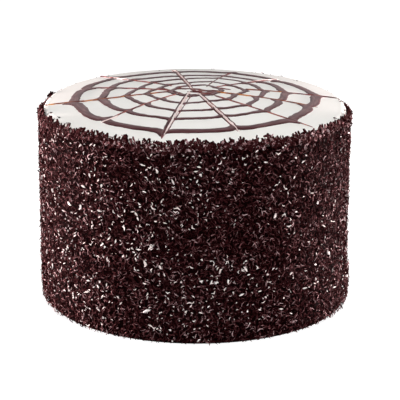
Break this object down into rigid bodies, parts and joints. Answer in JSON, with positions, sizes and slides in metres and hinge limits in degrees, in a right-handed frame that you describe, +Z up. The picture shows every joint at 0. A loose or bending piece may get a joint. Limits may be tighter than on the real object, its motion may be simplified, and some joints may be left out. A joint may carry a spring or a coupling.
{
  "type": "black velvet cake",
  "caption": "Tall round cream cake, uncut, its side coated with dark chocolate shreds, with a feathered chocolate web on a domed white top.",
  "frame": {"origin": "centre of the flat base, on the surface that the cake stands on", "axes": "+Z up along the cake's axis, -Y towards the front that the picture shows, +X to the right of that view"},
  "size_m": [0.2252, 0.2253, 0.1512],
  "materials": {
    "chocolate_shreds": "dark chocolate shreds with a low sheen",
    "white_cream": "smooth set cream, satin",
    "piped_chocolate": "set piped chocolate, satin"
  },
  "bodies": {
    "root": {"coated_cake": "chocolate_shreds", "cream_top": "white_cream"}
  },
  "joints": []
}
